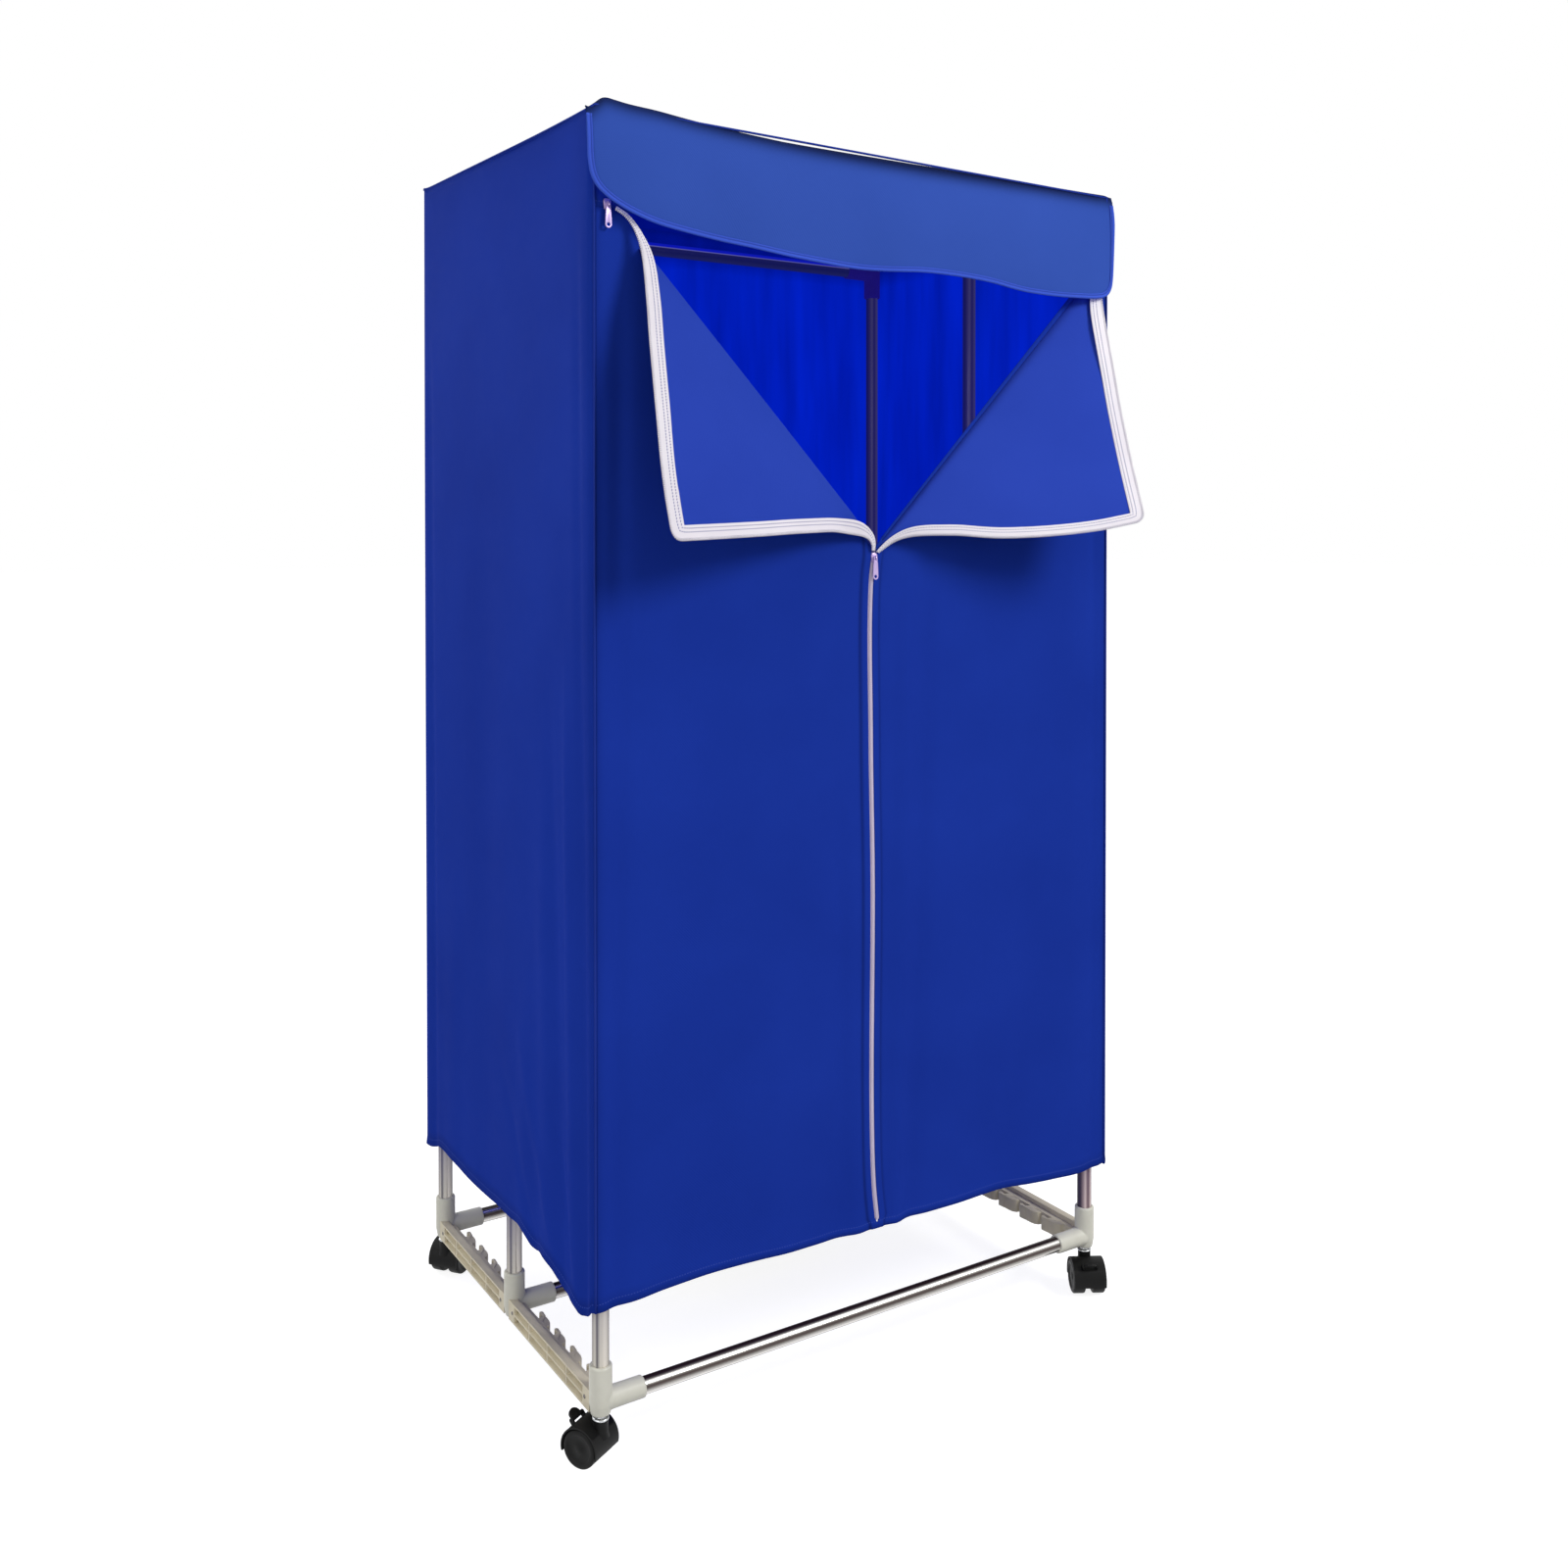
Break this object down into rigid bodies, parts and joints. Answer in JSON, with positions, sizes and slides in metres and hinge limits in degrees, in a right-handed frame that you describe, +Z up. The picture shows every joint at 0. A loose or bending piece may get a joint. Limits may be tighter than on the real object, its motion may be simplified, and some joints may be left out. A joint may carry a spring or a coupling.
{
  "type": "portable clothes dryer",
  "caption": "Portable clothes dryer: wheeled tube frame with moulded corner joints and hooked side bars, under a zipped cloth cover with fold-out front flaps and a fan heater below.",
  "frame": {"origin": "middle of the whole object's box on the floor, which is in front of the middle post row because the open front flaps stand out", "axes": "+Z up, +X to the right as seen from the front, the open front faces -Y"},
  "size_m": [0.7857, 0.6772, 1.462],
  "materials": {
    "tube": "bright rolled steel tube",
    "connector": "moulded off-white plastic, slightly glossy",
    "side_bar": "moulded warm off-white plastic",
    "caster_hood": "black nylon",
    "caster_wheel": "black nylon",
    "brake_lever": "black nylon",
    "cover_cloth": "coated royal blue cloth, smooth with soft folds",
    "flap_cloth": "the same cloth's paler coated inside",
    "zip_chain": "pale nylon coil zip",
    "zip_metal": "pale lilac painted zinc",
    "heater_shell": "light grey plastic",
    "heater_dark": "dark grey plastic",
    "heater_element": "finned heating block"
  },
  "bodies": {
    "frame": {"post_front_left": "tube", "post_front_right": "tube", "post_middle_left": "tube", "post_middle_right": "tube", "post_rear_left": "tube", "post_rear_right": "tube", "base_rail_front": "tube", "base_rail_middle": "tube", "base_rail_rear": "tube", "hanging_rail_front": "tube", "hanging_rail_middle": "tube", "hanging_rail_rear": "tube", "base_connector_front_left": "connector", "base_connector_front_right": "connector", "base_connector_middle_left": "connector", "base_connector_middle_right": "connector", "base_connector_rear_left": "connector", "base_connector_rear_right": "connector", "top_connector_front_left": "connector", "top_connector_front_right": "connector", "top_connector_rear_left": "connector", "top_connector_rear_right": "connector", "top_bar_left": "connector", "top_bar_right": "connector", "base_bar_front_left": "side_bar", "base_bar_front_right": "side_bar", "base_bar_rear_left": "side_bar", "base_bar_rear_right": "side_bar", "cover_roof": "cover_cloth", "cover_left": "cover_cloth", "cover_right": "cover_cloth", "cover_back": "cover_cloth", "cover_front_left": "cover_cloth", "cover_front_right": "cover_cloth", "cover_front_top": "cover_cloth", "zip_chain": "zip_chain", "heater_housing": "heater_shell", "heater_grille": "heater_dark", "heater_element": "heater_element"},
    "caster_front_left": {"caster_hood_front_left": "caster_hood"},
    "wheels_front_left": {"caster_wheels_front_left": "caster_wheel"},
    "caster_front_right": {"caster_hood_front_right": "caster_hood"},
    "wheels_front_right": {"caster_wheels_front_right": "caster_wheel"},
    "caster_rear_left": {"caster_hood_rear_left": "caster_hood"},
    "wheels_rear_left": {"caster_wheels_rear_left": "caster_wheel"},
    "caster_rear_right": {"caster_hood_rear_right": "caster_hood"},
    "wheels_rear_right": {"caster_wheels_rear_right": "caster_wheel"},
    "lever_front_left": {"brake_lever_front_left": "brake_lever"},
    "lever_front_right": {"brake_lever_front_right": "brake_lever"},
    "flap_left": {"flap_left": "flap_cloth"},
    "flap_right": {"flap_right": "flap_cloth"},
    "valance": {"valance": "flap_cloth"},
    "slider_left": {"zip_slider_left": "zip_metal"},
    "pull_left": {"zip_pull_left": "zip_metal"},
    "slider_middle": {"zip_slider_middle": "zip_metal"},
    "pull_middle": {"zip_pull_middle": "zip_metal"},
    "slider_right": {"zip_slider_right": "zip_metal"},
    "pull_right": {"zip_pull_right": "zip_metal"},
    "fan": {"heater_fan": "heater_dark"},
    "knob": {"timer_knob": "heater_dark"}
  },
  "joints": [
    {"name": "caster_swivel_front_left", "type": "hinge", "parent": "frame", "child": "caster_front_left", "pos_m": [-0.3577, -0.19599, 0.0495], "axis": [0, 0, 1], "continuous": true},
    {"name": "wheel_roll_front_left", "type": "hinge", "parent": "caster_front_left", "child": "wheels_front_left", "pos_m": [-0.36473, -0.18331, 0.021], "axis": [0.8746, 0.4848, 0], "continuous": true},
    {"name": "brake_press_front_left", "type": "hinge", "parent": "caster_front_left", "child": "lever_front_left", "pos_m": [-0.37321, -0.168, 0.0425], "axis": [-0.8746, -0.4848, 0], "range_deg": [0, 18]},
    {"name": "caster_swivel_front_right", "type": "hinge", "parent": "frame", "child": "caster_front_right", "pos_m": [0.3577, -0.19599, 0.0495], "axis": [0, 0, 1], "continuous": true},
    {"name": "wheel_roll_front_right", "type": "hinge", "parent": "caster_front_right", "child": "wheels_front_right", "pos_m": [0.35045, -0.20855, 0.021], "axis": [-0.866, 0.5, 0], "continuous": true},
    {"name": "brake_press_front_right", "type": "hinge", "parent": "caster_front_right", "child": "lever_front_right", "pos_m": [0.3417, -0.2237, 0.0425], "axis": [0.866, -0.5, 0], "range_deg": [0, 18]},
    {"name": "caster_swivel_rear_left", "type": "hinge", "parent": "frame", "child": "caster_rear_left", "pos_m": [-0.3577, 0.29321, 0.0495], "axis": [0, 0, 1], "continuous": true},
    {"name": "wheel_roll_rear_left", "type": "hinge", "parent": "caster_rear_left", "child": "wheels_rear_left", "pos_m": [-0.34627, 0.30214, 0.021], "axis": [0.6157, -0.788, 0], "continuous": true},
    {"name": "caster_swivel_rear_right", "type": "hinge", "parent": "frame", "child": "caster_rear_right", "pos_m": [0.3577, 0.29321, 0.0495], "axis": [0, 0, 1], "continuous": true},
    {"name": "wheel_roll_rear_right", "type": "hinge", "parent": "caster_rear_right", "child": "wheels_rear_right", "pos_m": [0.36266, 0.30684, 0.021], "axis": [0.9397, -0.342, 0], "continuous": true},
    {"name": "flap_fold_left", "type": "hinge", "parent": "frame", "child": "flap_left", "pos_m": [-0.352, -0.21679, 1.3575], "axis": [-0.6849, 0, 0.7287], "range_deg": [0, 100]},
    {"name": "flap_fold_right", "type": "hinge", "parent": "frame", "child": "flap_right", "pos_m": [0.352, -0.21679, 1.3575], "axis": [-0.7014, 0, -0.7128], "range_deg": [0, 100]},
    {"name": "valance_lift", "type": "hinge", "parent": "frame", "child": "valance", "pos_m": [0, -0.21799, 1.462], "axis": [-1, 0, 0], "range_deg": [0, 240]},
    {"name": "zip_slide_middle", "type": "slide", "parent": "frame", "child": "slider_middle", "axis": [0, 0, -1], "range_m": [0, 0.75]},
    {"name": "zip_slide_left", "type": "slide", "parent": "frame", "child": "slider_left", "axis": [1, 0, 0], "range_m": [0, 0.3285]},
    {"name": "zip_slide_right", "type": "slide", "parent": "frame", "child": "slider_right", "axis": [-1, 0, 0], "range_m": [0, 0.3285]},
    {"name": "pull_swing_middle", "type": "hinge", "parent": "slider_middle", "child": "pull_middle", "pos_m": [-0.008, -0.22169, 0.984], "axis": [-1, 0, 0], "range_deg": [0, 150]},
    {"name": "pull_swing_left", "type": "hinge", "parent": "slider_left", "child": "pull_left", "pos_m": [-0.3585, -0.22109, 1.3645], "axis": [-1, 0, 0], "range_deg": [0, 60]},
    {"name": "pull_swing_right", "type": "hinge", "parent": "slider_right", "child": "pull_right", "pos_m": [0.3585, -0.22109, 1.3645], "axis": [-1, 0, 0], "range_deg": [0, 25]},
    {"name": "fan_spin", "type": "hinge", "parent": "frame", "child": "fan", "pos_m": [0, 0.17091, 0.1158], "axis": [0, 0, 1], "continuous": true},
    {"name": "timer_turn", "type": "hinge", "parent": "frame", "child": "knob", "pos_m": [0, 0.03661, 0.1368], "axis": [0, -1, 0], "range_deg": [0, 330]}
  ]
}
